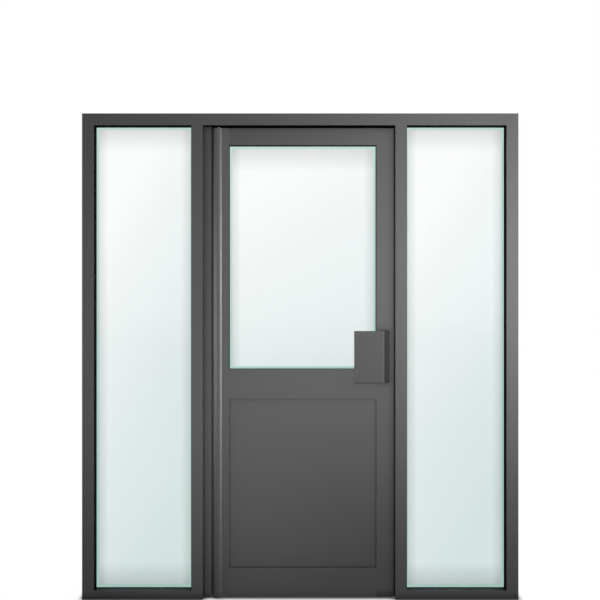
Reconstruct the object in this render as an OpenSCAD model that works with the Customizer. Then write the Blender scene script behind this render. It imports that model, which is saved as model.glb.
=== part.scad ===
/*
Steel-framed glass door set: two fixed glazed side lights and one swing leaf with a round,
finger-safe hinge stile. X runs across the front, the front looks along -Y, Z is up.
The origin is on the floor, in the middle of the width and of the frame's depth.
*/

/* [Frame] */
// Overall height of the door set
frame_h = 2135; // [1900:5:2500]
// Depth of the frame members, front to back
frame_depth = 80; // [60:1:120]
// Seen width of the jambs and of the head
frame_face = 52; // [44:1:80]
// Seen height of the two sills
sill_face = 38; // [34:1:80]
// Seen width of the two posts beside the doorway
post_face = 50; // [44:1:80]
// Clear seen width of the left side light
left_light_w = 428; // [300:1:800]
// Clear seen width of the right side light
right_light_w = 438; // [300:1:800]
// Doorway width between the posts
opening_w = 846; // [780:1:1100]
// Wall of the hollow steel profiles
wall_t = 2; // [1.5:0.1:3]
// Diameter of the anchor holes in the jambs and post feet
anchor_d = 11; // [8:0.5:13]
// Thickness of the plate that closes the foot of each post
foot_t = 4; // [3:0.5:8]
// Thickness of the rubber strip under the head, over the doorway
head_seal_t = 1.5; // [1:0.5:2.5]

/* [Glazing] */
// Thickness of the glass
glass_t = 10; // [6:0.5:14]
// Thickness of the rubber on each side of the glass
gasket_t = 5; // [3:0.5:6]
// Height of the glazing rebate
nose_h = 18; // [14:0.5:22]
// Room between the glass edge and the bottom of the rebate
edge_gap = 5; // [3:0.5:6]
// How far the rubber shows past the metal
gasket_proud = 1.5; // [1:0.5:3]
// How far the rubber lining stays back from the front face
lining_setback = 3; // [1:0.5:6]
// Wall of the hollow glazing beads
bead_wall = 1.5; // [1:0.1:2.5]
// Length of the blocks that the glass stands on
block_l = 100; // [50:5:150]

/* [Leaf] */
// Thickness of the leaf
leaf_t = 50; // [44:1:54]
// Gap under the leaf
floor_gap = 6; // [5:0.5:12]
// Gap over the leaf
head_gap = 9; // [5:0.5:12]
// Gap between the lock edge and the right post
lock_gap = 5; // [4:0.5:8]
// Radius of the round hinge stile
stile_r = 30; // [29:0.5:33]
// Flat of the hinge stile between its round and the glazing rebate
hinge_flat = 1; // [0.5:0.5:20]
// Seen width of the lock stile
lock_stile_face = 77; // [70:1:120]
// Seen height of the top rail
top_rail_face = 75; // [60:1:140]
// Seen height of the middle rail
mid_rail_face = 130; // [90:1:180]
// Height of the middle rail's lower edge
mid_rail_z = 880; // [700:5:1100]
// Seen height of the bottom rail
bottom_rail_face = 128; // [80:1:250]
// Thickness of the end caps of the stiles
cap_t = 3; // [2:0.5:5]

/* [Finger guard] */
// From the left post to the pivot axis
pivot_inset = 65; // [62:0.5:75]
// Seen width of the guard strip
guard_face = 35.5; // [33:0.5:36]
// Depth of the guard strip, front to back
guard_depth = 40; // [36:1:44]
// Running gap round the hinge stile
guard_gap = 5; // [4:0.5:6]
// Angle of each brush strip from the middle of the guard
brush_angle = 20; // [12:1:24]

/* [Lower panel] */
// How far the panel lies back from the leaf's face
panel_recess = 6; // [3:0.5:9]
// Fit gap round the panel
panel_gap = 0.5; // [0.3:0.1:2]
// Sheet of the panel's two trays
sheet_t = 1.5; // [1:0.1:2]

/* [Pull plate] */
// Width of the grip plate
pull_w = 132; // [80:1:200]
// Height of the pull plate
pull_h = 230; // [150:1:400]
// Height of the pull plate's middle
pull_z = 1066; // [950:1:1200]
// From the leaf's face to the plate's outer face
pull_reach = 50; // [40:1:70]
// Thickness of the folded plate
pull_t = 4; // [3:0.5:6]
// Outer radius of the folds
pull_fold_r = 6; // [5:0.5:9]
// Radius of the plate's corners
pull_corner_r = 3; // [1:0.5:6]
// Width of the fixing flange, with the web
pull_flange_w = 31; // [26:1:36]
// From the lock edge to the plate's web
pull_inset = 47; // [42:1:56]

/* [Hidden] */
$fn = 96;

// One overrun for every cut
overrun = 1;
// Places of the setting blocks along a pane, and of the anchors up the jambs
block_place_shares = [0.25, 0.75];
anchor_place_shares = [0.15, 0.85];

// Slot for the glass with its rubber, the depth of what stands before and behind it,
// how far the glass goes into the rebate and the fine joint between two beads
slot_w = glass_t + 2 * gasket_t;
frame_nose_d = (frame_depth - slot_w) / 2;
leaf_nose_d = (leaf_t - slot_w) / 2;
glass_bite = nose_h - edge_gap;
bead_joint = 0.2;

// Stations across the front, from left to right
frame_w = 2 * frame_face + 2 * post_face + left_light_w + opening_w + right_light_w;
left_x = -frame_w / 2;
right_x = frame_w / 2;
left_light_x0 = left_x + frame_face;
left_light_x1 = left_light_x0 + left_light_w;
door_x0 = left_light_x1 + post_face;
door_x1 = door_x0 + opening_w;
right_light_x0 = door_x1 + post_face;
right_light_x1 = right_light_x0 + right_light_w;

// Heights of the head's lower edge, of the rebate above it and of the strip's underside
head_z = frame_h - frame_face;
head_rebate_z = head_z + nose_h;
head_seal_z = head_z - head_seal_t;

// The leaf's outline, and the lines where its stiles' tubes meet the rails
axis_x = door_x0 + pivot_inset;
lock_x = door_x1 - lock_gap;
leaf_z0 = floor_gap;
leaf_z1 = head_z - head_gap;
stile_z0 = leaf_z0 + cap_t;
stile_z1 = leaf_z1 - cap_t;
rail_x0 = axis_x + stile_r + hinge_flat;
rail_x1 = lock_x - lock_stile_face + nose_h;

// Each glazed field as [left, right, bottom, top] of its sight opening
left_light = [left_light_x0, left_light_x1, sill_face, head_z];
right_light = [right_light_x0, right_light_x1, sill_face, head_z];
vision = [rail_x0 + nose_h, rail_x1 - nose_h, mid_rail_z + mid_rail_face, leaf_z1 - top_rail_face];
lower_field = [rail_x0 + nose_h, rail_x1 - nose_h, leaf_z0 + bottom_rail_face, mid_rail_z];

// Brush seals: the groove they sit in, their backing, their bristles and the tip's clearance
brush_groove_w = 5;
brush_groove_d = 6;
brush_base_t = 2;
bristle_w = 3;
brush_clear = 0.5;

// Finger guard: its concave radius
guard_r = stile_r + guard_gap;

// Pivots: running clearance, fit of the inserts in the stile, and the pieces' own sizes
run_clear = 0.05;
fit_gap = 0.1;
thrust_gap = 0.2;
spindle_r = 8;
spindle_grip = 60;
pivot_plate_r = 28;
pivot_plate_t = 3;
pivot_screw_r = 2.75;
pivot_screw_head_r = 5;
pivot_screw_circle_r = 18;
pivot_screws = 3;
bearing_h = 40;
closer_h = 260;
housing_h = 60;
bush_room = 0.4;
bush_wall = 2.5;
bush_r = slot_w / 2 - wall_t - bush_room;
pin_r = bush_r - bush_wall - run_clear;
pin_tip_gap = 2;
pin_chamfer = 1.5;
insert_r = stile_r - wall_t - fit_gap;
bearing_z1 = stile_z0 + bearing_h;
spindle_z1 = bearing_z1 + spindle_grip;

// Pull plate: stations of its web and flange, and its screws
pull_web_x1 = lock_x - pull_inset;
pull_web_x0 = pull_web_x1 - pull_t;
pull_x0 = pull_web_x1 - pull_w;
pull_flange_x1 = pull_web_x0 + pull_flange_w;
pull_screw_x = (pull_web_x1 + pull_flange_x1) / 2;
pull_screw_place_shares = [-0.35, 0, 0.35];
screw_r = 3;
screw_head_r = 6;
sleeve_r = 4.5;
sleeve_head_r = 7.5;
screw_clear = 0.3;
sleeve_setback = 10;
screw_engage = 25;

coat = "#595959";
coat_dark = "#4a4a4a";
glass_tint = "#cfe3de";
rubber_black = "#1c1c1c";
pile_grey = "#2b2b2b";
steel_grey = "#9a9a9a";
bronze = "#a5803f";
block_black = "#303030";
wool = "#b9ad8a";

// Profiles

// Outline of a hollow member with one glazing rebate: its back edge is at 0, the sight edge at face
function rebate_points(face, depth, inset) = [
    [inset, -depth / 2 + inset],
    [face - inset, -depth / 2 + inset],
    [face - inset, -slot_w / 2 - inset],
    [face - nose_h - inset, -slot_w / 2 - inset],
    [face - nose_h - inset, depth / 2 - inset],
    [inset, depth / 2 - inset]
];

// Outline of a rail with a rebate above and below
function double_rebate_points(face, depth, inset) = [
    [inset, -depth / 2 + inset],
    [face - inset, -depth / 2 + inset],
    [face - inset, -slot_w / 2 - inset],
    [face - nose_h - inset, -slot_w / 2 - inset],
    [face - nose_h - inset, depth / 2 - inset],
    [nose_h + inset, depth / 2 - inset],
    [nose_h + inset, -slot_w / 2 - inset],
    [inset, -slot_w / 2 - inset]
];

module rebate_profile(face, depth) {
    difference() {
        polygon(rebate_points(face, depth, 0));
        polygon(rebate_points(face, depth, wall_t));
    }
}

module double_rebate_profile(face, depth) {
    difference() {
        polygon(double_rebate_points(face, depth, 0));
        polygon(double_rebate_points(face, depth, wall_t));
    }
}

// Brush groove in a back edge at 0, grown by the wall that runs round it
module brush_groove(grow) {
    translate([-overrun, -brush_groove_w / 2 - grow])
        square([overrun + brush_groove_d + grow, brush_groove_w + 2 * grow]);
}

// A leaf member that also carries a brush groove in its back edge
module grooved_profile(face, depth) {
    difference() {
        polygon(rebate_points(face, depth, 0));
        difference() {
            polygon(rebate_points(face, depth, wall_t));
            brush_groove(wall_t);
        }
        brush_groove(0);
    }
}

// Section of a brush strip: its backing in the groove, its bristles out to reach
module brush_profile(reach) {
    translate([brush_groove_d - brush_base_t, -brush_groove_w / 2])
        square([brush_base_t, brush_groove_w]);
    translate([-reach, -bristle_w / 2])
        square([reach + brush_groove_d - brush_base_t, bristle_w]);
}

// Round stile with the flat leg that carries the glazing rebate, all shrunk by inset
module hinge_outline(inset) {
    circle(r = stile_r - inset);
    translate([0, -leaf_t / 2 + inset])
        square([stile_r + hinge_flat - inset, leaf_t - 2 * inset]);
    translate([0, -leaf_t / 2 + inset])
        square([stile_r + hinge_flat + nose_h - inset, leaf_nose_d - 2 * inset]);
}

// Ways to run a profile

// Upright member: the profile's back edge at x, its sight edge towards facing
module upright(x, facing, z0, z1) {
    translate([x, 0, z0])
        if (facing < 0)
            mirror([1, 0, 0]) linear_extrude(z1 - z0) children();
        else
            linear_extrude(z1 - z0) children();
}

// Level member with its sight edge downwards, its back edge at z
module rail_down(x0, x1, z) {
    translate([x0, 0, z]) rotate([0, 90, 0]) linear_extrude(x1 - x0) children();
}

// Level member with its sight edge upwards, its back edge at z
module rail_up(x0, x1, z) {
    translate([x1, 0, z]) rotate([0, -90, 0]) linear_extrude(x1 - x0) children();
}

// Front outline as a thick block, to mitre a member with
module front_block(points) {
    rotate([90, 0, 0])
        linear_extrude(frame_depth + 2 * overrun, center = true) polygon(points);
}

// Rectangular tube, open at the ends of the direction named by along (0 for X, 2 for Z)
module box_tube(size, along, wall) {
    bore_size = [for (i = [0:2]) i == along ? size[i] + 2 * overrun : size[i] - 2 * wall];
    bore_start = [for (i = [0:2]) i == along ? -overrun : wall];
    difference() {
        cube(size);
        translate(bore_start) cube(bore_size);
    }
}

// Pieces of a glazed field

// Block over a field's sight opening, grown on its four sides, from y0 to y1
module field_block(field, grow, y0, y1) {
    translate([field[0] - grow, y0, field[2] - grow])
        cube([field[1] - field[0] + 2 * grow, y1 - y0, field[3] - field[2] + 2 * grow]);
}

module pane(field) {
    field_block(field, glass_bite, -glass_t / 2, glass_t / 2);
}

// Moulded rubber frame on one face of the glass; side is -1 in front and 1 behind
module gasket(field, proud, side) {
    y0 = side < 0 ? -slot_w / 2 : glass_t / 2;
    difference() {
        field_block(field, glass_bite, y0, y0 + gasket_t);
        field_block(field, -proud, y0 - overrun, y0 + gasket_t + overrun);
    }
}

// Front rubber: it also lines the noses of the uprights and of the upper rail, up to their front edge
module front_gasket(field, nose_d) {
    lining_y = -slot_w / 2 - nose_d + lining_setback;
    gasket(field, gasket_proud, -1);
    difference() {
        field_block(field, 0, lining_y, -glass_t / 2);
        translate([field[0] + gasket_proud, lining_y - overrun, field[2] - overrun])
            cube([
                field[1] - field[0] - 2 * gasket_proud,
                nose_d + gasket_t + 2 * overrun,
                field[3] - field[2] + overrun - gasket_proud
            ]);
    }
}

// Four hollow beads that hold the glass from behind
module beads(field, depth) {
    bead_d = (depth - slot_w) / 2;
    level = [field[1] - field[0] + 2 * nose_h, bead_d, nose_h];
    plumb = [nose_h, bead_d, field[3] - field[2] - 2 * bead_joint];
    for (z = [field[2] - nose_h, field[3]])
        translate([field[0] - nose_h, slot_w / 2, z]) box_tube(level, 0, bead_wall);
    for (x = [field[0] - nose_h, field[1]])
        translate([x, slot_w / 2, field[2] + bead_joint]) box_tube(plumb, 2, bead_wall);
}

module setting_blocks(field) {
    for (share = block_place_shares)
        translate([
            field[0] + share * (field[1] - field[0]) - block_l / 2,
            -glass_t / 2,
            field[2] - nose_h
        ])
            cube([block_l, glass_t, edge_gap]);
}

// Frame

// Anchor holes across a jamb that starts at x
module jamb_anchors(x) {
    for (share = anchor_place_shares)
        translate([x - overrun, 0, share * frame_h])
            rotate([0, 90, 0]) cylinder(d = anchor_d, h = frame_face + 2 * overrun);
}

// Cut in the foot of an upright, from its sight edge back, that the sill's nose runs into
module sill_cope(sight_x, facing) {
    translate([
        facing < 0 ? sight_x - overrun : sight_x - nose_h,
        -frame_depth / 2 - overrun,
        -overrun
    ])
        cube([nose_h + overrun, overrun + frame_nose_d, overrun + sill_face]);
}

module left_jamb() {
    color(coat) difference() {
        intersection() {
            upright(left_x, 1, 0, frame_h) rebate_profile(frame_face, frame_depth);
            front_block([
                [left_x, 0], [left_light_x0, 0], [left_light_x0, head_z], [left_x, frame_h]
            ]);
        }
        sill_cope(left_light_x0, 1);
        jamb_anchors(left_x);
    }
}

module right_jamb() {
    color(coat) difference() {
        intersection() {
            upright(right_x, -1, 0, frame_h) rebate_profile(frame_face, frame_depth);
            front_block([
                [right_x, 0], [right_x, frame_h], [right_light_x1, head_z], [right_light_x1, 0]
            ]);
        }
        sill_cope(right_light_x1, -1);
        jamb_anchors(right_light_x1);
    }
}

module head_rail() {
    color(coat) intersection() {
        rail_down(left_x, right_x, frame_h) rebate_profile(frame_face, frame_depth);
        front_block([
            [left_x, frame_h], [left_light_x0, head_z], [right_light_x1, head_z], [right_x, frame_h]
        ]);
    }
}

// Sill between two uprights, its nose let into theirs
module sill(field) {
    color(coat) rail_up(field[0] - nose_h, field[1] + nose_h, 0) rebate_profile(sill_face, frame_depth);
}

module left_sill() {
    sill(left_light);
}

module right_sill() {
    sill(right_light);
}

// Post coped under the head's nose and over the sill's nose; back is the doorway side
module post(back_x, facing) {
    color(coat) difference() {
        upright(back_x, facing, 0, head_rebate_z) rebate_profile(post_face, frame_depth);
        translate([back_x - post_face - overrun, -frame_depth / 2 - overrun, head_z])
            cube([2 * (post_face + overrun), overrun + frame_nose_d, nose_h + overrun]);
        sill_cope(back_x + facing * post_face, facing);
    }
}

module left_post() {
    post(door_x0, -1);
}

module right_post() {
    post(door_x1, 1);
}

// Plates inside the posts' feet, each with one floor anchor
module post_feet() {
    foot_w = post_face - nose_h - 2 * wall_t;
    foot_d = frame_depth - 2 * wall_t;
    color(coat_dark) for (x = [door_x0 - wall_t - foot_w, door_x1 + wall_t])
        translate([x, -foot_d / 2, 0]) difference() {
            cube([foot_w, foot_d, foot_t]);
            translate([foot_w / 2, foot_d / 2, -overrun]) cylinder(d = anchor_d, h = foot_t + 2 * overrun);
        }
}

// Box over the leaf that fills the head's rebate across the doorway
module door_head_infill() {
    color(coat) translate([door_x0, -slot_w / 2, head_z]) difference() {
        box_tube([opening_w, frame_depth - frame_nose_d, nose_h], 0, wall_t);
        translate([pivot_inset, slot_w / 2, -overrun])
            cylinder(r = bush_r + fit_gap, h = wall_t + 2 * overrun);
    }
}

// Rubber strip under the head and that box, cut out round the guard and the top pin
module door_head_seal() {
    seal_d = frame_depth - 2 * lining_setback;
    color(rubber_black) translate([door_x0, 0, head_seal_z]) difference() {
        translate([0, -seal_d / 2, 0]) cube([opening_w, seal_d, head_seal_t]);
        translate([-overrun, -guard_depth / 2, -overrun])
            cube([guard_face + overrun, guard_depth, head_seal_t + 2 * overrun]);
        translate([pivot_inset, 0, -overrun]) cylinder(r = bush_r + fit_gap, h = head_seal_t + 2 * overrun);
    }
}

// Concave strip that the round stile turns in
module finger_guard() {
    hollow_w = pivot_inset - guard_r - brush_groove_d - 3 * wall_t;
    color(coat_dark) linear_extrude(head_z) difference() {
        translate([door_x0, -guard_depth / 2]) square([guard_face, guard_depth]);
        translate([axis_x, 0]) circle(r = guard_r);
        translate([door_x0 + wall_t, -guard_depth / 2 + wall_t])
            square([hollow_w, guard_depth - 2 * wall_t]);
        for (side = [-1, 1])
            translate([axis_x, 0]) rotate(180 + side * brush_angle)
                translate([guard_r, 0]) brush_groove(0);
    }
}

module guard_brushes() {
    color(pile_grey) for (side = [-1, 1])
        translate([axis_x, 0, 0]) rotate([0, 0, 180 + side * brush_angle])
            translate([guard_r, 0, 0])
                linear_extrude(head_seal_z - brush_clear) brush_profile(guard_gap - brush_clear);
}

// Side lights

module left_light_glass() {
    color(glass_tint) pane(left_light);
}

module left_light_front_gasket() {
    color(rubber_black) front_gasket(left_light, frame_nose_d);
}

module left_light_rear_gasket() {
    color(rubber_black) gasket(left_light, gasket_proud, 1);
}

module left_light_beads() {
    color(coat) beads(left_light, frame_depth);
}

module left_light_blocks() {
    color(block_black) setting_blocks(left_light);
}

module right_light_glass() {
    color(glass_tint) pane(right_light);
}

module right_light_front_gasket() {
    color(rubber_black) front_gasket(right_light, frame_nose_d);
}

module right_light_rear_gasket() {
    color(rubber_black) gasket(right_light, gasket_proud, 1);
}

module right_light_beads() {
    color(coat) beads(right_light, frame_depth);
}

module right_light_blocks() {
    color(block_black) setting_blocks(right_light);
}

// Pivots

// Floor plate with the spindle that carries the leaf
module floor_pivot() {
    sink_h = pivot_screw_head_r - pivot_screw_r;
    color(steel_grey) translate([axis_x, 0, 0]) difference() {
        union() {
            cylinder(r = pivot_plate_r, h = pivot_plate_t);
            cylinder(r = spindle_r, h = spindle_z1);
        }
        for (i = [0:pivot_screws - 1])
            rotate([0, 0, i * 360 / pivot_screws]) translate([pivot_screw_circle_r, 0, 0]) {
                translate([0, 0, -overrun]) cylinder(r = pivot_screw_r, h = pivot_plate_t + 2 * overrun);
                translate([0, 0, pivot_plate_t - sink_h])
                    cylinder(r1 = pivot_screw_r, r2 = pivot_screw_head_r, h = sink_h);
            }
    }
}

// Bush in the infill box, up against its top wall
module top_pivot_bush() {
    bush_h = nose_h - wall_t;
    color(bronze) translate([axis_x, 0, head_z]) difference() {
        cylinder(r = bush_r, h = bush_h);
        translate([0, 0, -overrun]) cylinder(r = pin_r + run_clear, h = bush_h + 2 * overrun);
    }
}

module bottom_bearing() {
    color(bronze) translate([axis_x, 0, stile_z0]) difference() {
        cylinder(r = insert_r, h = bearing_h);
        translate([0, 0, -overrun]) cylinder(r = spindle_r + run_clear, h = bearing_h + 2 * overrun);
    }
}

// Sealed spring closer inside the round stile, standing on the spindle's end
module closer_body() {
    color(steel_grey) translate([axis_x, 0, bearing_z1]) difference() {
        cylinder(r = insert_r, h = closer_h);
        translate([0, 0, -overrun])
            cylinder(r = spindle_r + run_clear, h = overrun + spindle_grip + thrust_gap);
    }
}

module top_pivot_housing() {
    color(steel_grey) translate([axis_x, 0, stile_z1 - housing_h]) difference() {
        cylinder(r = insert_r, h = housing_h);
        translate([0, 0, -overrun]) cylinder(r = pin_r + run_clear, h = housing_h + 2 * overrun);
    }
}

module top_pivot_pin() {
    pin_z0 = stile_z1 - housing_h;
    pin_z1 = head_rebate_z - wall_t - pin_tip_gap;
    color(steel_grey) translate([axis_x, 0, 0]) {
        translate([0, 0, pin_z0]) cylinder(r = pin_r, h = pin_z1 - pin_chamfer - pin_z0);
        translate([0, 0, pin_z1 - pin_chamfer])
            cylinder(r1 = pin_r, r2 = pin_r - pin_chamfer, h = pin_chamfer);
    }
}

// Leaf

module hinge_stile() {
    color(coat) translate([axis_x, 0, stile_z0]) linear_extrude(stile_z1 - stile_z0) difference() {
        hinge_outline(0);
        hinge_outline(wall_t);
    }
}

// Caps at both ends of the hinge stile, bored for the spindle and the top pin
module hinge_stile_caps() {
    color(coat) for (end = [[leaf_z0, spindle_r], [stile_z1, pin_r]])
        translate([axis_x, 0, end[0]]) linear_extrude(cap_t) difference() {
            hinge_outline(0);
            circle(r = end[1] + screw_clear);
        }
}

// Holes for the pull plates' bolts through the front and rear walls of the lock stile
module pull_bolt_holes() {
    for (share = pull_screw_place_shares)
        translate([pull_screw_x, 0, pull_z + share * pull_h]) {
            rotate([90, 0, 0]) cylinder(r = screw_r + screw_clear, h = leaf_t / 2 + overrun);
            rotate([-90, 0, 0]) cylinder(r = sleeve_r + screw_clear, h = leaf_t / 2 + overrun);
        }
}

module lock_stile() {
    color(coat) difference() {
        upright(lock_x, -1, stile_z0, stile_z1) grooved_profile(lock_stile_face, leaf_t);
        pull_bolt_holes();
    }
}

module lock_stile_caps() {
    color(coat) for (z = [leaf_z0, stile_z1])
        upright(lock_x, -1, z, z + cap_t) polygon(rebate_points(lock_stile_face, leaf_t, 0));
}

// Room for the stiles' noses, which run past the rails' ends
module stile_noses() {
    for (x = [rail_x0 - overrun, rail_x1 - nose_h])
        translate([x, -leaf_t / 2 - overrun, leaf_z0 - overrun])
            cube([nose_h + overrun, leaf_nose_d + overrun, leaf_z1 - leaf_z0 + 2 * overrun]);
}

module leaf_top_rail() {
    color(coat) difference() {
        rail_down(rail_x0, rail_x1, leaf_z1) grooved_profile(top_rail_face, leaf_t);
        stile_noses();
    }
}

module leaf_mid_rail() {
    color(coat) difference() {
        rail_up(rail_x0, rail_x1, mid_rail_z) double_rebate_profile(mid_rail_face, leaf_t);
        stile_noses();
    }
}

module leaf_bottom_rail() {
    color(coat) difference() {
        rail_up(rail_x0, rail_x1, leaf_z0) grooved_profile(bottom_rail_face, leaf_t);
        stile_noses();
    }
}

module leaf_glass() {
    color(glass_tint) pane(vision);
}

module leaf_glass_front_gasket() {
    color(rubber_black) front_gasket(vision, leaf_nose_d);
}

module leaf_glass_rear_gasket() {
    color(rubber_black) gasket(vision, gasket_proud, 1);
}

module leaf_glass_beads() {
    color(coat) beads(vision, leaf_t);
}

module leaf_glass_blocks() {
    color(block_black) setting_blocks(vision);
}

// Lower panel: two folded trays on a stiff core, held by their flanges like a pane

module panel_tray() {
    face_y = -leaf_t / 2 + panel_recess;
    flange_y = -glass_t / 2;
    difference() {
        union() {
            field_block(lower_field, -panel_gap, face_y, flange_y + sheet_t);
            field_block(lower_field, glass_bite, flange_y, flange_y + sheet_t);
        }
        field_block(lower_field, -panel_gap - sheet_t, face_y + sheet_t, flange_y + sheet_t + overrun);
    }
}

module panel_front_tray() {
    color(coat) panel_tray();
}

module panel_rear_tray() {
    color(coat) mirror([0, 1, 0]) panel_tray();
}

module panel_core() {
    core_d = leaf_t / 2 - panel_recess - sheet_t;
    tongue_d = glass_t / 2 - sheet_t;
    color(wool) {
        field_block(lower_field, -panel_gap - sheet_t, -core_d, core_d);
        field_block(lower_field, glass_bite, -tongue_d, tongue_d);
    }
}

module panel_front_gasket() {
    color(rubber_black) gasket(lower_field, 0, -1);
}

module panel_rear_gasket() {
    color(rubber_black) gasket(lower_field, 0, 1);
}

module panel_beads() {
    color(coat) beads(lower_field, leaf_t);
}

module panel_blocks() {
    color(block_black) setting_blocks(lower_field);
}

// Pull plates

// Quarter of a bent sheet about its fold's centre, in the corner named by the two signs
module sheet_bend(sign_x, sign_y) {
    intersection() {
        difference() {
            circle(r = pull_fold_r);
            circle(r = pull_fold_r - pull_t);
        }
        translate([sign_x < 0 ? -pull_fold_r : 0, sign_y < 0 ? -pull_fold_r : 0])
            square(pull_fold_r);
    }
}

// The folded sheet seen from above: grip plate, web and fixing flange
module pull_section() {
    plate_y = -leaf_t / 2 - pull_reach;
    flange_y = -leaf_t / 2;
    translate([pull_x0, plate_y]) square([pull_w - pull_fold_r, pull_t]);
    translate([pull_web_x1 - pull_fold_r, plate_y + pull_fold_r]) sheet_bend(1, -1);
    translate([pull_web_x0, plate_y + pull_fold_r]) square([pull_t, pull_reach - 2 * pull_fold_r]);
    translate([pull_web_x0 + pull_fold_r, flange_y - pull_fold_r]) sheet_bend(-1, 1);
    translate([pull_web_x0 + pull_fold_r, flange_y - pull_t]) square([pull_flange_w - pull_fold_r, pull_t]);
}

// The sheet's cut outline seen from the front, with rounded corners
module pull_outline() {
    width = pull_flange_x1 - pull_x0;
    translate([pull_x0, pull_z - pull_h / 2]) {
        translate([pull_corner_r, 0]) square([width - 2 * pull_corner_r, pull_h]);
        translate([0, pull_corner_r]) square([width, pull_h - 2 * pull_corner_r]);
        for (x = [pull_corner_r, width - pull_corner_r])
            for (z = [pull_corner_r, pull_h - pull_corner_r])
                translate([x, z]) circle(r = pull_corner_r);
    }
}

// Countersunk shape of a screw, head first at the origin, running along +Y
module sunk_screw(shank_r, head_r, length) {
    rotate([-90, 0, 0]) {
        cylinder(r1 = head_r, r2 = shank_r, h = head_r - shank_r);
        cylinder(r = shank_r, h = length);
    }
}

module pull_plate(shank_r, head_r) {
    face_y = -leaf_t / 2 - pull_t;
    difference() {
        intersection() {
            translate([0, 0, pull_z - pull_h / 2]) linear_extrude(pull_h) pull_section();
            rotate([90, 0, 0]) linear_extrude(leaf_t + pull_reach + overrun) pull_outline();
        }
        for (share = pull_screw_place_shares)
            translate([pull_screw_x, face_y, pull_z + share * pull_h])
                sunk_screw(shank_r + screw_clear, head_r + screw_clear, pull_t + overrun);
    }
}

module front_pull_plate() {
    color(coat) pull_plate(screw_r, screw_head_r);
}

module rear_pull_plate() {
    color(coat) mirror([0, 1, 0]) pull_plate(sleeve_r, sleeve_head_r);
}

module pull_screws() {
    face_y = -leaf_t / 2 - pull_t;
    color(coat_dark) for (share = pull_screw_place_shares)
        translate([pull_screw_x, face_y, pull_z + share * pull_h])
            sunk_screw(screw_r, screw_head_r, pull_t + sleeve_setback + screw_engage);
}

// Sleeve nuts from the rear, bored for the screws
module pull_sleeve_nuts() {
    face_y = leaf_t / 2 + pull_t;
    sleeve_l = leaf_t + pull_t - sleeve_setback;
    color(coat_dark) for (share = pull_screw_place_shares)
        translate([pull_screw_x, face_y, pull_z + share * pull_h]) mirror([0, 1, 0]) difference() {
            sunk_screw(sleeve_r, sleeve_head_r, sleeve_l);
            translate([0, sleeve_l - screw_engage - pull_t, 0]) rotate([-90, 0, 0])
                cylinder(r = screw_r + run_clear, h = screw_engage + pull_t + overrun);
        }
}

// Brush seals of the leaf

module lock_edge_brush() {
    color(pile_grey) upright(lock_x, -1, stile_z0, stile_z1) brush_profile(lock_gap - brush_clear);
}

module top_edge_brush() {
    color(pile_grey) rail_down(rail_x0, rail_x1, leaf_z1)
        brush_profile(head_seal_z - leaf_z1 - brush_clear);
}

module bottom_edge_brush() {
    color(pile_grey) rail_up(rail_x0, rail_x1, leaf_z0) brush_profile(floor_gap - brush_clear);
}

left_jamb();
right_jamb();
head_rail();
left_sill();
right_sill();
left_post();
right_post();
post_feet();
door_head_infill();
door_head_seal();
finger_guard();
guard_brushes();
left_light_glass();
left_light_front_gasket();
left_light_rear_gasket();
left_light_beads();
left_light_blocks();
right_light_glass();
right_light_front_gasket();
right_light_rear_gasket();
right_light_beads();
right_light_blocks();
floor_pivot();
top_pivot_bush();
hinge_stile();
hinge_stile_caps();
lock_stile();
lock_stile_caps();
leaf_top_rail();
leaf_mid_rail();
leaf_bottom_rail();
leaf_glass();
leaf_glass_front_gasket();
leaf_glass_rear_gasket();
leaf_glass_beads();
leaf_glass_blocks();
panel_front_tray();
panel_rear_tray();
panel_core();
panel_front_gasket();
panel_rear_gasket();
panel_beads();
panel_blocks();
bottom_bearing();
closer_body();
top_pivot_housing();
top_pivot_pin();
front_pull_plate();
rear_pull_plate();
pull_screws();
pull_sleeve_nuts();
lock_edge_brush();
top_edge_brush();
bottom_edge_brush();
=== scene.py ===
import math
import random

import bpy
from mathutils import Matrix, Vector


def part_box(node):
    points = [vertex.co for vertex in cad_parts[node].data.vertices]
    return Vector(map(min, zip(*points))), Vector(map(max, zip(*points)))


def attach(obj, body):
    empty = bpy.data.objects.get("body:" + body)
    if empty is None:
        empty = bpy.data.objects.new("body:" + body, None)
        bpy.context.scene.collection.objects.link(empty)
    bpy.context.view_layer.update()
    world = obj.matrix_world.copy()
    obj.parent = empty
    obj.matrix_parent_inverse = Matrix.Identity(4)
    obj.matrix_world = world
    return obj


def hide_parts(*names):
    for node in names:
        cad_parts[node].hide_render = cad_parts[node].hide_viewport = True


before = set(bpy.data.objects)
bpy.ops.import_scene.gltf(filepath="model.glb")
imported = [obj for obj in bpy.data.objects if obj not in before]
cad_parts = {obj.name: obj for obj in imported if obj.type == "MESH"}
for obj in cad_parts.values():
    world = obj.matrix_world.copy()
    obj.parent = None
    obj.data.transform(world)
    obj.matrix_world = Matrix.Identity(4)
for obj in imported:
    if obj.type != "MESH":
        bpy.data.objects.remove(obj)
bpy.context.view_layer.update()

scene = bpy.context.scene
scene.view_settings.view_transform = "Standard"


# Outer frame: two jambs, the head, two sills, two posts with their foot plates and the box over the leaf.
# Roll-formed hollow steel profiles, mitred at the head and coped at the feet, welded and ground flush,
# then powder coated as one frame, so no joint shows on the faces.


def linear(hex_colour):
    """Turns an sRGB hex colour into linear RGBA."""
    channels = [int(hex_colour[i:i + 2], 16) / 255 for i in (1, 3, 5)]
    return [c / 12.92 if c <= 0.04045 else ((c + 0.055) / 1.055) ** 2.4 for c in channels] + [1.0]


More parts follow.
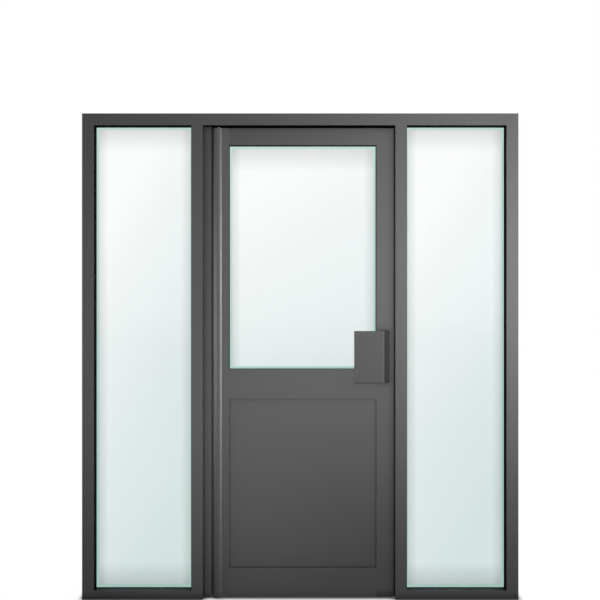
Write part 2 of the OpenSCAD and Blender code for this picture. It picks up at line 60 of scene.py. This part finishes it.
def add(tree, kind, inputs, **settings):
    """Adds one shader node, with its settings, its fixed inputs and its links."""
    made = tree.nodes.new(kind)
    for name, value in settings.items():
        setattr(made, name, value)
    for name, value in inputs.items():
        if isinstance(value, bpy.types.NodeSocket):
            tree.links.new(value, made.inputs[name])
        else:
            made.inputs[name].default_value = value
    return made


def new_material(name, **surface_values):
    """Makes a node material and returns it with its tree and its surface shader."""
    material = bpy.data.materials.new(name)
    material.use_nodes = True
    surface = material.node_tree.nodes["Principled BSDF"]
    for value_name, value in surface_values.items():
        surface.inputs[value_name.replace("_", " ")].default_value = value
    return material, material.node_tree, surface


def dress(material, *names):
    """Gives the named solids their material."""
    for name in names:
        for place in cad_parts[name].material_slots:
            place.material = material


def powder_coat(name, colour, nook_least, nook_mm=40, satin_low=0.63):
    """Polyester powder baked on steel: an even satin skin, faintly clouded, with a fine orange peel. In nooks
    it carries painted shade: its colour falls to nook_least and its shine dims, over about nook_mm from the
    corner.
    The peel is drawn about three times as coarse as the real one, so that it shows."""
    cloud_mm, peel_mm, peel_height = 260, 9, 0.0003
    cloud_dark, cloud_light, satin_span = 0.93, 1.07, 0.08
    shut_in, full_shine = 0.55, 0.5
    material, tree, surface = new_material(name, IOR=1.55)
    place = add(tree, "ShaderNodeTexCoord", {}).outputs["Object"]
    cloud = add(tree, "ShaderNodeTexNoise", {"Vector": place, "Scale": 1000 / cloud_mm, "Detail": 4.0})
    peel = add(tree, "ShaderNodeTexNoise", {"Vector": place, "Scale": 1000 / peel_mm, "Detail": 2.0})
    # Painted shade: ambient occlusion darkens the colour and dims the shine in nooks.
    nook = add(tree, "ShaderNodeAmbientOcclusion", {"Distance": nook_mm / 1000}, samples=4)
    nook_shade = add(tree, "ShaderNodeMapRange", {"Value": nook.outputs["AO"], "From Min": shut_in,
                                            "To Min": nook_least})
    shine = add(tree, "ShaderNodeMapRange", {"Value": nook_shade.outputs["Result"], "To Max": full_shine})
    shade = add(tree, "ShaderNodeMapRange", {"Value": cloud.outputs["Fac"], "To Min": cloud_dark,
                                             "To Max": cloud_light})
    shade = add(tree, "ShaderNodeMath", {0: shade.outputs["Result"], 1: nook_shade.outputs["Result"]},
                operation="MULTIPLY")
    tint = add(tree, "ShaderNodeVectorMath", {0: linear(colour)[:3], "Scale": shade.outputs["Value"]},
               operation="SCALE")
    satin = add(tree, "ShaderNodeMapRange", {"Value": cloud.outputs["Fac"], "To Min": satin_low,
                                             "To Max": satin_low + satin_span})
    bump = add(tree, "ShaderNodeBump", {"Height": peel.outputs["Fac"], "Strength": 0.12,
                                        "Distance": peel_height})
    tree.links.new(tint.outputs["Vector"], surface.inputs["Base Color"])
    tree.links.new(satin.outputs["Result"], surface.inputs["Roughness"])
    tree.links.new(shine.outputs["Result"], surface.inputs["Specular IOR Level"])
    tree.links.new(bump.outputs["Normal"], surface.inputs["Normal"])
    return material


frame_coat = powder_coat("grey_powder_coat_frame", "#404040", nook_least=0.45)
dress(frame_coat, "left_jamb", "right_jamb", "head_rail", "left_sill", "right_sill", "left_post",
      "right_post", "post_feet", "door_head_infill")


# Finger guard: the concave strip on the left post that the round stile turns in, with two brush seals.
# An extruded strip, powder coated like the frame; each seal is a bar with two rows of nylon bristles.

dress(powder_coat("grey_powder_coat_guard", "#3e3e3e", nook_least=0.6), "finger_guard")


def brush_pile():
    """Black nylon bristles: each a little lighter or darker than the next, and dull."""
    tuft_mm = 2.5
    material, tree, surface = new_material("black_nylon_pile", Roughness=0.75, IOR=1.53)
    place = add(tree, "ShaderNodeTexCoord", {}).outputs["Object"]
    tuft = add(tree, "ShaderNodeTexNoise", {"Vector": place, "Scale": 1000 / tuft_mm, "Detail": 1.0})
    tone = add(tree, "ShaderNodeValToRGB", {"Fac": tuft.outputs["Fac"]})
    tone.color_ramp.elements[0].color = linear("#0b0b0b")
    tone.color_ramp.elements[1].color = linear("#232323")
    tree.links.new(tone.outputs["Color"], surface.inputs["Base Color"])
    return material


nylon_pile = brush_pile()


def brush_seal(name, node, body, strips):
    """Brush strips in place of a plain solid. A strip is the middle of its groove's mouth at one end, the
    way into the groove, the way along it and how far its bristles reach out of it."""
    bar_top, bar_bottom, bar_half, lip = 0.004, 0.006, 0.0025, 0.0006
    bristle_pitch, row_half, bristle_r, tip_share = 0.001, 0.0008, 0.0003, 0.6
    lean_along, lean_across, uneven_cut = 0.0006, 0.0003, 0.0005
    turns = [math.radians(a) for a in (0, 120, 240)]
    draw = random.Random(name)
    points, faces = [], []

    def prism(rings):
        """Adds a closed prism through rings of points."""
        first, count = len(points), len(rings[0])
        for ring in rings:
            points.extend(ring)
        for level in range(len(rings) - 1):
            start = first + level * count
            for i in range(count):
                j = (i + 1) % count
                faces.append((start + i, start + j, start + count + j, start + count + i))
        faces.append(tuple(range(first + count - 1, first - 1, -1)))
        last = first + (len(rings) - 1) * count
        faces.append(tuple(range(last, last + count)))

    for mouth, inward, run, reach in strips:
        mouth, inward, run = Vector(mouth), Vector(inward).normalized(), Vector(run)
        along = run.normalized()
        across = along.cross(inward)
        ring = [(along * math.cos(a) + across * math.sin(a)) * bristle_r for a in turns]
        outline = [(bar_top, lip - bar_half), (bar_top + lip, -bar_half), (bar_bottom, -bar_half),
                   (bar_bottom, bar_half), (bar_top + lip, bar_half), (bar_top, bar_half - lip)]
        prism([[mouth + end + inward * d + across * w for d, w in outline] for end in (run * 0, run)])
        for i in range(int(run.length / bristle_pitch) - 1):
            for side in (-1, 1):
                root = mouth + along * (i + 1) * bristle_pitch + across * side * row_half + inward * bar_top
                lean = (along * draw.uniform(-lean_along, lean_along)
                        + across * draw.uniform(-lean_across, lean_across))
                tip = root + lean - inward * (bar_top + reach - draw.uniform(0, uneven_cut))
                prism([[root + r + inward * lip for r in ring], [tip + r * tip_share for r in ring]])
    mesh = bpy.data.meshes.new(name)
    mesh.from_pydata(points, [], faces)
    mesh.materials.append(nylon_pile)
    piece = bpy.data.objects.new(name, mesh)
    scene.collection.objects.link(piece)
    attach(piece, body)
    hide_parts(node)


stile_r, guard_gap, tip_clear, groove_angle = 0.030, 0.005, 0.0005, 20
pivot_x = (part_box("floor_pivot")[0][0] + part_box("floor_pivot")[1][0]) / 2
guard_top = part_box("guard_brushes")[1][2]
guard_strips = []
for turn in (180 - groove_angle, 180 + groove_angle):
    outward = Vector((math.cos(math.radians(turn)), math.sin(math.radians(turn)), 0))
    mouth = Vector((pivot_x, 0, 0)) + outward * (stile_r + guard_gap)
    guard_strips.append((mouth, outward, (0, 0, guard_top), guard_gap - tip_clear))
brush_seal("guard_brush_seals", "guard_brushes", "frame", guard_strips)


# Side lights: two fixed panes, each held by a rubber and the frame's nose in front, a rubber and four
# hollow beads behind, and standing on two setting blocks in the rebate.
# Toughened satin glass 10 mm thick; the rubbers are moulded in one piece and the front one lines the noses.


def satin_glass(name, node, skew, shade_foot):
    """Float glass etched to a fine satin: what is behind it melts into soft light. The body has a faint green
    tint, with painted shade that darkens and greens it downwards and, by skew, to the right. Along the edges
    a stronger green is painted, standing in for the green that light shows through the glass's edges, and
    towards the rubbers painted shade stands for the frame's shadow; the foot argument is how much light that
    shade lets through at the foot of the pane."""
    glass_bite, ramp_top, ramp_foot = 0.013, 1.95, 0.1
    shade_tall, shade_wide, shade_head, shade_side = 0.11, 0.052, 0.72, 0.73
    rim_full, rim_gone = 0.009, 0.0135
    low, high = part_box(node)
    middle_x, half_w = (low[0] + high[0]) / 2, (high[0] - low[0]) / 2 - glass_bite
    bottom, top = low[2] + glass_bite, high[2] - glass_bite
    material, tree, surface = new_material(name, Roughness=0.12, IOR=1.52, Transmission_Weight=1.0)
    place = add(tree, "ShaderNodeTexCoord", {}).outputs["Object"]
    axes = add(tree, "ShaderNodeSeparateXYZ", {"Vector": place})
    drop = add(tree, "ShaderNodeMapRange", {"Value": axes.outputs["Z"], "From Min": ramp_top,
                                            "From Max": ramp_foot}, clamp=False)
    across = add(tree, "ShaderNodeMapRange", {"Value": axes.outputs["X"], "From Min": low[0],
                                              "From Max": high[0], "To Min": -skew / 2, "To Max": skew / 2})
    along = add(tree, "ShaderNodeMath", {0: drop.outputs["Result"], 1: across.outputs["Result"]},
                operation="ADD")
    # Body tint: a faint green, with painted shade that darkens it downwards and, by skew, to the right.
    body = add(tree, "ShaderNodeValToRGB", {"Fac": along.outputs["Value"]})
    ramp = body.color_ramp.elements
    for step, (at, colour) in enumerate([(0.0, "#fbfdfc"), (0.2, "#f1f5f4"), (0.36, "#ebf4f3"),
                                         (0.63, "#e2eceb"), (1.0, "#d7e6e3")]):
        stop = ramp[step] if step < 2 else ramp.new(at)
        stop.position = at
        stop.color = linear(colour)
    side = add(tree, "ShaderNodeMath", {0: axes.outputs["X"], 1: middle_x}, operation="SUBTRACT")
    side = add(tree, "ShaderNodeMath", {0: side.outputs["Value"]}, operation="ABSOLUTE")
    side = add(tree, "ShaderNodeMath", {0: half_w, 1: side.outputs["Value"]}, operation="SUBTRACT")
    above = add(tree, "ShaderNodeMath", {0: top, 1: axes.outputs["Z"]}, operation="SUBTRACT")
    below = add(tree, "ShaderNodeMath", {0: axes.outputs["Z"], 1: bottom}, operation="SUBTRACT")
    # Painted shade towards the rubbers, for the frame's shadow on the pane: darker close to the head, the
    # foot and the sides.
    edge_shade = None
    for gap, reach, least in ((above, shade_tall, shade_head), (below, shade_tall, shade_foot),
                              (side, shade_wide, shade_side)):
        part = add(tree, "ShaderNodeMapRange", {"Value": gap.outputs["Value"], "From Max": reach,
                                                "To Min": least})
        if edge_shade is None:
            edge_shade = part.outputs["Result"]
        else:
            edge_shade = add(tree, "ShaderNodeMath", {0: edge_shade, 1: part.outputs["Result"]},
                       operation="MULTIPLY").outputs["Value"]
    shaded = add(tree, "ShaderNodeVectorMath", {0: body.outputs["Color"], "Scale": edge_shade}, operation="SCALE")
    # Painted green rim along the pane's edges, standing in for the green that light shows through the glass's
    # edges.
    edge = add(tree, "ShaderNodeMath", {0: side.outputs["Value"], 1: above.outputs["Value"]},
               operation="MINIMUM")
    edge = add(tree, "ShaderNodeMath", {0: edge.outputs["Value"], 1: below.outputs["Value"]},
               operation="MINIMUM")
    rim = add(tree, "ShaderNodeMapRange", {"Value": edge.outputs["Value"], "From Min": rim_full,
                                           "From Max": rim_gone, "To Min": 1.0, "To Max": 0.0},
              interpolation_type="SMOOTHSTEP")
    deep = add(tree, "ShaderNodeVectorMath", {0: body.outputs["Color"], 1: linear("#c3e1da")[:3]},
               operation="MULTIPLY")
    green = add(tree, "ShaderNodeMix", {0: rim.outputs["Result"], 6: shaded.outputs["Vector"],
                                        7: deep.outputs["Vector"]}, data_type="RGBA")
    tree.links.new(green.outputs[2], surface.inputs["Base Color"])
    return material


def moulded_rubber():
    """Black EPDM from a mould: dull, with a faint grey bloom in soft clouds and a fine pebbled skin.
    The pebbles are drawn coarser than the real ones, so that they show."""
    bloom_mm, pebble_mm = 60, 4
    material, tree, surface = new_material("black_epdm_rubber", IOR=1.5, Specular_IOR_Level=0.02)
    place = add(tree, "ShaderNodeTexCoord", {}).outputs["Object"]
    bloom = add(tree, "ShaderNodeTexNoise", {"Vector": place, "Scale": 1000 / bloom_mm, "Detail": 4.0})
    pebble = add(tree, "ShaderNodeTexNoise", {"Vector": place, "Scale": 1000 / pebble_mm, "Detail": 1.0})
    tone = add(tree, "ShaderNodeValToRGB", {"Fac": bloom.outputs["Fac"]})
    tone.color_ramp.elements[0].color = linear("#040404")
    tone.color_ramp.elements[1].color = linear("#0e0e0e")
    dull = add(tree, "ShaderNodeMapRange", {"Value": bloom.outputs["Fac"], "To Min": 0.6, "To Max": 0.8})
    bump = add(tree, "ShaderNodeBump", {"Height": pebble.outputs["Fac"], "Strength": 0.3, "Distance": 0.0002})
    tree.links.new(tone.outputs["Color"], surface.inputs["Base Color"])
    tree.links.new(dull.outputs["Result"], surface.inputs["Roughness"])
    tree.links.new(bump.outputs["Normal"], surface.inputs["Normal"])
    return material


def moulded_block():
    """Black polypropylene, injection moulded: a waxy half gloss with streaks from the flow in the mould."""
    streak_mm = 12
    material, tree, surface = new_material("black_polypropylene", IOR=1.49)
    place = add(tree, "ShaderNodeTexCoord", {}).outputs["Object"]
    streak = add(tree, "ShaderNodeTexNoise", {"Vector": place, "Scale": 1000 / streak_mm, "Distortion": 2.0})
    tone = add(tree, "ShaderNodeValToRGB", {"Fac": streak.outputs["Fac"]})
    tone.color_ramp.elements[0].color = linear("#161616")
    tone.color_ramp.elements[1].color = linear("#2a2a2a")
    waxy = add(tree, "ShaderNodeMapRange", {"Value": streak.outputs["Fac"], "To Min": 0.4, "To Max": 0.55})
    tree.links.new(tone.outputs["Color"], surface.inputs["Base Color"])
    tree.links.new(waxy.outputs["Result"], surface.inputs["Roughness"])
    return material


rubber, block_plastic = moulded_rubber(), moulded_block()
for pane in ("left_light", "right_light"):
    dress(satin_glass(pane + "_satin_glass", pane + "_glass", skew=0.4, shade_foot=0.68), pane + "_glass")
dress(rubber, "left_light_front_gasket", "left_light_rear_gasket", "right_light_front_gasket",
      "right_light_rear_gasket")
dress(frame_coat, "left_light_beads", "right_light_beads")
dress(block_plastic, "left_light_blocks", "right_light_blocks")


def veil(*names):
    """Keeps solids close behind the etched glass from showing through it, as the etching does."""
    for name in names:
        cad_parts[name].visible_transmission = False


veil("left_light_beads", "right_light_beads", "left_light_rear_gasket", "right_light_rear_gasket")


# Seals of the doorway: a flat strip under the head, and a bead in each corner between guard and post.
# The strip is black rubber, glued on; the beads are black silicone, smoothed hollow with a wet tool.

dress(rubber, "door_head_seal")


def tooled_silicone():
    """Black silicone sealant: a soft half gloss with slow ripples where the tool was drawn along it."""
    ripple_mm = 18
    material, tree, surface = new_material("black_silicone_sealant", IOR=1.41)
    place = add(tree, "ShaderNodeTexCoord", {}).outputs["Object"]
    ripple = add(tree, "ShaderNodeTexNoise", {"Vector": place, "Scale": 1000 / ripple_mm, "Detail": 1.0})
    tone = add(tree, "ShaderNodeValToRGB", {"Fac": ripple.outputs["Fac"]})
    tone.color_ramp.elements[0].color = linear("#060606")
    tone.color_ramp.elements[1].color = linear("#101010")
    gloss = add(tree, "ShaderNodeMapRange", {"Value": ripple.outputs["Fac"], "To Min": 0.45, "To Max": 0.6})
    bump = add(tree, "ShaderNodeBump", {"Height": ripple.outputs["Fac"], "Strength": 0.2, "Distance": 0.0004})
    tree.links.new(tone.outputs["Color"], surface.inputs["Base Color"])
    tree.links.new(gloss.outputs["Result"], surface.inputs["Roughness"])
    tree.links.new(bump.outputs["Normal"], surface.inputs["Normal"])
    return material


bead_leg, bead_steps = 0.005, 6
post_side, guard_face_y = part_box("finger_guard")[0][0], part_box("finger_guard")[1][1]
bead_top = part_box("door_head_seal")[0][2]
points, faces = [], []
for side in (-1, 1):
    outline = [(post_side, side * guard_face_y)]
    for step in range(bead_steps + 1):
        turn = math.radians(90 * step / bead_steps)
        outline.append((post_side + bead_leg * (1 - math.sin(turn)),
                        side * (guard_face_y + bead_leg * (1 - math.cos(turn)))))
    if side > 0:
        outline.reverse()
    first, count = len(points), len(outline)
    points += [(x, y, z) for z in (0, bead_top) for x, y in outline]
    faces += [(first + (i + 1) % count, first + i, first + count + i, first + count + (i + 1) % count)
              for i in range(count)]
    faces += [tuple(range(first, first + count)),
              tuple(range(first + 2 * count - 1, first + count - 1, -1))]
bead_mesh = bpy.data.meshes.new("guard_joint_sealant")
bead_mesh.from_pydata(points, [], faces)
bead_mesh.materials.append(tooled_silicone())
sealant = bpy.data.objects.new("guard_joint_sealant", bead_mesh)
scene.collection.objects.link(sealant)
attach(sealant, "frame")


# Frame side of the pivots: a floor plate with its spindle, and a bush in the box over the leaf.
# The plate and spindle are turned and zinc-plated steel, screwed to the floor; the bush is sintered bronze.


def zinc_plate():
    """Turned steel with bright zinc: fine rings from the lathe and a slightly cloudy passivated sheen.
    The rings are drawn coarser than a real lathe's feed, so that they show."""
    ring_mm, cloud_mm, rings_per_unit = 1.5, 25, 20
    material, tree, surface = new_material("bright_zinc_steel", Metallic=1.0)
    place = add(tree, "ShaderNodeTexCoord", {}).outputs["Object"]
    centred = add(tree, "ShaderNodeVectorMath", {0: place, 1: (pivot_x, 0, 0)}, operation="SUBTRACT")
    rings = add(tree, "ShaderNodeTexWave", {"Vector": centred.outputs["Vector"],
                                            "Scale": 1000 / ring_mm / rings_per_unit},
                wave_type="RINGS", rings_direction="Z")
    cloud = add(tree, "ShaderNodeTexNoise", {"Vector": place, "Scale": 1000 / cloud_mm, "Detail": 3.0})
    shade = add(tree, "ShaderNodeMapRange", {"Value": cloud.outputs["Fac"], "To Min": 0.85, "To Max": 1.1})
    tint = add(tree, "ShaderNodeVectorMath", {0: linear("#b6b8ba")[:3], "Scale": shade.outputs["Result"]},
               operation="SCALE")
    sheen = add(tree, "ShaderNodeMapRange", {"Value": cloud.outputs["Fac"], "To Min": 0.26, "To Max": 0.42})
    bump = add(tree, "ShaderNodeBump", {"Height": rings.outputs["Fac"], "Strength": 0.1, "Distance": 0.0001})
    tree.links.new(tint.outputs["Vector"], surface.inputs["Base Color"])
    tree.links.new(sheen.outputs["Result"], surface.inputs["Roughness"])
    tree.links.new(bump.outputs["Normal"], surface.inputs["Normal"])
    return material


def sintered_bronze():
    """Pressed and sintered bronze, soaked in oil: brown gold, speckled with open pores."""
    pore_mm = 1.2
    material, tree, surface = new_material("sintered_bronze", Metallic=1.0)
    place = add(tree, "ShaderNodeTexCoord", {}).outputs["Object"]
    pores = add(tree, "ShaderNodeTexVoronoi", {"Vector": place, "Scale": 1000 / pore_mm})
    tone = add(tree, "ShaderNodeValToRGB", {"Fac": pores.outputs["Distance"]})
    tone.color_ramp.elements[0].color = linear("#6b4f26")
    tone.color_ramp.elements[1].color = linear("#b08a4a")
    oily = add(tree, "ShaderNodeMapRange", {"Value": pores.outputs["Distance"], "To Min": 0.55,
                                            "To Max": 0.35})
    tree.links.new(tone.outputs["Color"], surface.inputs["Base Color"])
    tree.links.new(oily.outputs["Result"], surface.inputs["Roughness"])
    return material


pivot_steel, bronze = zinc_plate(), sintered_bronze()
dress(pivot_steel, "floor_pivot")
dress(bronze, "top_pivot_bush")


# Leaf frame: the round hinge stile, the lock stile and three rails, with a cap on each end of the stiles.
# Hollow steel profiles coped and welded into one leaf, ground flush and powder coated.
# The round stile is drawn tube, so its coat lies smoother than the rest and takes a line of light; its colour
# is drawn a little lighter than the leaf's, as painted light.

leaf_coat = powder_coat("grey_powder_coat_leaf", "#3f3f3f", nook_least=0.75)
round_stile_coat = powder_coat("grey_powder_coat_stile", "#444444", nook_least=0.8, satin_low=0.38)
# Painted shade in the nooks goes deepest on the lock stile, beside the post's step, and on the top rail,
# under the head.
lock_stile_coat = powder_coat("grey_powder_coat_lock_stile", "#3e3e3e", nook_least=0.34, nook_mm=50)
top_rail_coat = powder_coat("grey_powder_coat_top_rail", "#3f3f3f", nook_least=0.45, nook_mm=80)
dress(round_stile_coat, "hinge_stile", "hinge_stile_caps")
dress(lock_stile_coat, "lock_stile", "lock_stile_caps")
dress(leaf_coat, "leaf_mid_rail", "leaf_bottom_rail")
dress(top_rail_coat, "leaf_top_rail")


# Leaf pane: the glass over the middle rail, with its rubbers, beads and setting blocks.
# The same satin glass as the side lights, set into the leaf from behind.

dress(satin_glass("leaf_satin_glass", "leaf_glass", skew=0.22, shade_foot=0.97), "leaf_glass")
dress(rubber, "leaf_glass_front_gasket", "leaf_glass_rear_gasket")
dress(leaf_coat, "leaf_glass_beads")
veil("leaf_glass_beads", "leaf_glass_rear_gasket")
dress(block_plastic, "leaf_glass_blocks")


# Lower panel: a front and a rear tray on a stiff core, held by flanges like a pane.
# Folded steel sheet, powder coated, bonded to a board of mineral wool.


def wool_board():
    """Pressed mineral wool: straw-coloured fibres lying every way, quite without gloss."""
    fibre_mm = 3
    material, tree, surface = new_material("mineral_wool_board", Roughness=0.95)
    place = add(tree, "ShaderNodeTexCoord", {}).outputs["Object"]
    fibre = add(tree, "ShaderNodeTexNoise", {"Vector": place, "Scale": 1000 / fibre_mm, "Detail": 4.0,
                                             "Distortion": 3.0})
    tone = add(tree, "ShaderNodeValToRGB", {"Fac": fibre.outputs["Fac"]})
    tone.color_ramp.elements[0].color = linear("#8f8460")
    tone.color_ramp.elements[1].color = linear("#cfc4a0")
    bump = add(tree, "ShaderNodeBump", {"Height": fibre.outputs["Fac"], "Strength": 0.6, "Distance": 0.001})
    tree.links.new(tone.outputs["Color"], surface.inputs["Base Color"])
    tree.links.new(bump.outputs["Normal"], surface.inputs["Normal"])
    return material


panel_coat = powder_coat("grey_powder_coat_panel", "#3f3f3f", nook_least=0.62, nook_mm=60)
dress(panel_coat, "panel_front_tray", "panel_rear_tray")
dress(leaf_coat, "panel_beads")
dress(wool_board(), "panel_core")
dress(rubber, "panel_front_gasket", "panel_rear_gasket")
dress(block_plastic, "panel_blocks")


# Leaf side of the pivots: the bearing and spring closer in the stile's foot, the housing and pin at its top.
# Turned steel and bronze, pushed into the round tube before its caps are welded on.

dress(pivot_steel, "closer_body", "top_pivot_housing", "top_pivot_pin")
dress(bronze, "bottom_bearing")


# Pull plates: one on each face of the lock stile, bolted through it with three screws and sleeve nuts.
# Steel sheet with two folds, powder coated; painted shade makes the fixing flange near-black.


def pull_coat():
    """Satin powder on the grip and web. Painted shade turns the flange against the leaf near-black and dims
    its shine, and a painted dark band of shade runs along the cut lower edge."""
    cloud_mm, peel_mm, peel_height = 120, 9, 0.0003
    cloud_dark, cloud_light, satin_low, satin_high = 0.93, 1.07, 0.63, 0.71
    flange_top, web_full, shaded_shine, full_shine = 0.031, 0.046, 0.3, 0.5
    dark_band_top, dark_band_fade, dark_band_least = 0.006, 0.011, 0.4
    cut_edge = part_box("front_pull_plate")[0][2]
    material, tree, surface = new_material("grey_powder_coat_pull", IOR=1.55)
    place = add(tree, "ShaderNodeTexCoord", {}).outputs["Object"]
    axes = add(tree, "ShaderNodeSeparateXYZ", {"Vector": place})
    depth = add(tree, "ShaderNodeMath", {0: axes.outputs["Y"]}, operation="ABSOLUTE")
    # Painted shade: the flange against the leaf is turned near-black and its shine dimmed.
    clear_of_shade = add(tree, "ShaderNodeMapRange", {"Value": depth.outputs["Value"], "From Min": flange_top,
                                              "From Max": web_full})
    # Painted shade: a dark band along the cut lower edge.
    lower_edge_shade = add(tree, "ShaderNodeMapRange", {"Value": axes.outputs["Z"], "From Min": cut_edge + dark_band_top,
                                            "From Max": cut_edge + dark_band_fade, "To Min": dark_band_least})
    cloud = add(tree, "ShaderNodeTexNoise", {"Vector": place, "Scale": 1000 / cloud_mm, "Detail": 4.0})
    peel = add(tree, "ShaderNodeTexNoise", {"Vector": place, "Scale": 1000 / peel_mm, "Detail": 2.0})
    tone = add(tree, "ShaderNodeMix", {0: clear_of_shade.outputs["Result"], 6: linear("#181818"),
                                       7: linear("#343434")}, data_type="RGBA")
    shade = add(tree, "ShaderNodeMapRange", {"Value": cloud.outputs["Fac"], "To Min": cloud_dark,
                                             "To Max": cloud_light})
    shade = add(tree, "ShaderNodeMath", {0: shade.outputs["Result"], 1: lower_edge_shade.outputs["Result"]},
                operation="MULTIPLY")
    tint = add(tree, "ShaderNodeVectorMath", {0: tone.outputs[2], "Scale": shade.outputs["Value"]},
               operation="SCALE")
    satin = add(tree, "ShaderNodeMapRange", {"Value": cloud.outputs["Fac"], "To Min": satin_low,
                                             "To Max": satin_high})
    bump = add(tree, "ShaderNodeBump", {"Height": peel.outputs["Fac"], "Strength": 0.12,
                                        "Distance": peel_height})
    shine = add(tree, "ShaderNodeMapRange", {"Value": clear_of_shade.outputs["Result"], "To Min": shaded_shine,
                                             "To Max": full_shine})
    tree.links.new(tint.outputs["Vector"], surface.inputs["Base Color"])
    tree.links.new(satin.outputs["Result"], surface.inputs["Roughness"])
    tree.links.new(shine.outputs["Result"], surface.inputs["Specular IOR Level"])
    tree.links.new(bump.outputs["Normal"], surface.inputs["Normal"])
    return material


dress(pull_coat(), "front_pull_plate", "rear_pull_plate", "pull_screws", "pull_sleeve_nuts")
veil("front_pull_plate", "rear_pull_plate")


# Edge brushes: seals in grooves along the leaf's lock edge, top and bottom.
# Each is a plastic bar slid into its groove, with two rows of nylon bristles like those in the guard.

leaf_top, leaf_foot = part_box("lock_stile_caps")[1][2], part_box("lock_stile_caps")[0][2]
lock_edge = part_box("lock_stile")[1][0]
lock_low, lock_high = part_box("lock_edge_brush")
brush_seal("lock_edge_brush_seal", "lock_edge_brush", "leaf",
           [((lock_edge, 0, lock_low[2]), (-1, 0, 0), (0, 0, lock_high[2] - lock_low[2]),
             lock_high[0] - lock_edge)])
rail_low, rail_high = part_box("top_edge_brush")
brush_seal("top_edge_brush_seal", "top_edge_brush", "leaf",
           [((rail_low[0], 0, leaf_top), (0, 0, -1), (rail_high[0] - rail_low[0], 0, 0),
             rail_high[2] - leaf_top)])
rail_low, rail_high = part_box("bottom_edge_brush")
brush_seal("bottom_edge_brush_seal", "bottom_edge_brush", "leaf",
           [((rail_low[0], 0, leaf_foot), (0, 0, 1), (rail_high[0] - rail_low[0], 0, 0),
             leaf_foot - rail_low[2])])


# Studio: a plain pale floor and a white surround, a large softbox to the right of the camera, a weak one to
# the left, and a strip light on each side that draws a line of light along the round stile.
# The floor keeps the contact shadow under the door set.

floor_half, contact_reach, contact_shut, contact_glow, open_glow = 30, 0.03, 0.5, 0.05, 0.885
floor_in_gloss, surround_light = 0.05, 0.55
floor_mesh = bpy.data.meshes.new("floor")
floor_mesh.from_pydata([(-floor_half, -floor_half, 0), (floor_half, -floor_half, 0),
                        (floor_half, floor_half, 0), (-floor_half, floor_half, 0)], [], [(0, 1, 2, 3)])
floor = bpy.data.objects.new("floor", floor_mesh)
scene.collection.objects.link(floor)
material, tree, surface = new_material("pale_floor", Base_Color=linear("#808080"), Roughness=0.9,
                                       Specular_IOR_Level=0.0, Emission_Color=(1, 1, 1, 1))
path = add(tree, "ShaderNodeLightPath", {})
contact = add(tree, "ShaderNodeAmbientOcclusion", {"Distance": contact_reach}, samples=8)
seen = add(tree, "ShaderNodeMath", {0: path.outputs["Is Camera Ray"],
                                    1: path.outputs["Is Transmission Ray"]}, operation="MAXIMUM")
glossy = add(tree, "ShaderNodeMath", {0: path.outputs["Is Glossy Ray"], 1: floor_in_gloss},
             operation="MULTIPLY")
seen = add(tree, "ShaderNodeMath", {0: seen.outputs["Value"], 1: glossy.outputs["Value"]},
           operation="MAXIMUM")
glow = add(tree, "ShaderNodeMapRange", {"Value": contact.outputs["AO"], "From Min": contact_shut,
                                        "To Min": contact_glow, "To Max": open_glow})
glow = add(tree, "ShaderNodeMath", {0: seen.outputs["Value"], 1: glow.outputs["Result"]},
           operation="MULTIPLY")
tree.links.new(glow.outputs["Value"], surface.inputs["Emission Strength"])
floor_mesh.materials.append(material)

world = bpy.data.worlds.new("white_studio")
scene.world = world
world.use_nodes = True
tree = world.node_tree
surround = tree.nodes["Background"]
surround.inputs["Color"].default_value = (1, 1, 1, 1)
path = add(tree, "ShaderNodeLightPath", {})
seen = add(tree, "ShaderNodeMath", {0: path.outputs["Is Camera Ray"], 1: path.outputs["Is Glossy Ray"]},
           operation="MAXIMUM")
seen = add(tree, "ShaderNodeMath", {0: seen.outputs["Value"], 1: path.outputs["Is Transmission Ray"]},
           operation="MAXIMUM")
level = add(tree, "ShaderNodeMapRange", {"Value": seen.outputs["Value"], "To Min": surround_light})
tree.links.new(level.outputs["Result"], surround.inputs["Strength"])


def softbox(name, place, aim, width, height, power, spread):
    """Hangs one soft rectangular lamp that casts no shadow of its own, like light from a bright room."""
    lamp = bpy.data.lights.new(name, "AREA")
    lamp.shape = "RECTANGLE"
    lamp.size = width
    lamp.size_y = height
    lamp.energy = power
    lamp.spread = math.radians(spread)
    lamp.use_shadow = False
    holder = bpy.data.objects.new(name, lamp)
    holder.location = place
    holder.rotation_euler = (Vector(aim) - Vector(place)).to_track_quat("-Z", "Y").to_euler()
    scene.collection.objects.link(holder)


softbox("right_softbox", place=(3.0, -3.0, 1.6), aim=(0.72, 0, 1.53),
        width=1.2, height=1.4, power=20.6, spread=45)
softbox("left_softbox", place=(-2.4, -2.4, 1.08), aim=(0.0, 0, 0.97),
        width=1.5, height=1.1, power=2.4, spread=35)
softbox("strip_light", place=(2.4, -2.2, 0.5), aim=(-0.36, 0, 0.55),
        width=0.2, height=1.0, power=0.7, spread=14)
softbox("left_strip_light", place=(-3.8, -0.8, 1.1), aim=(-0.38, 0, 1.1),
        width=0.2, height=1.8, power=0.4, spread=16)


# Camera: level and square on to the middle of the door set, at about three fifths of its height.
# Its place and lens alone give the framing, with no shift.

camera_data = bpy.data.cameras.new("camera")
camera_data.sensor_width = 36
camera_data.lens = 38.27
camera = bpy.data.objects.new("camera", camera_data)
camera.location = (-0.001, -2.84, 1.3157)
camera.rotation_euler = (math.radians(90), 0, 0)
scene.collection.objects.link(camera)
scene.camera = camera
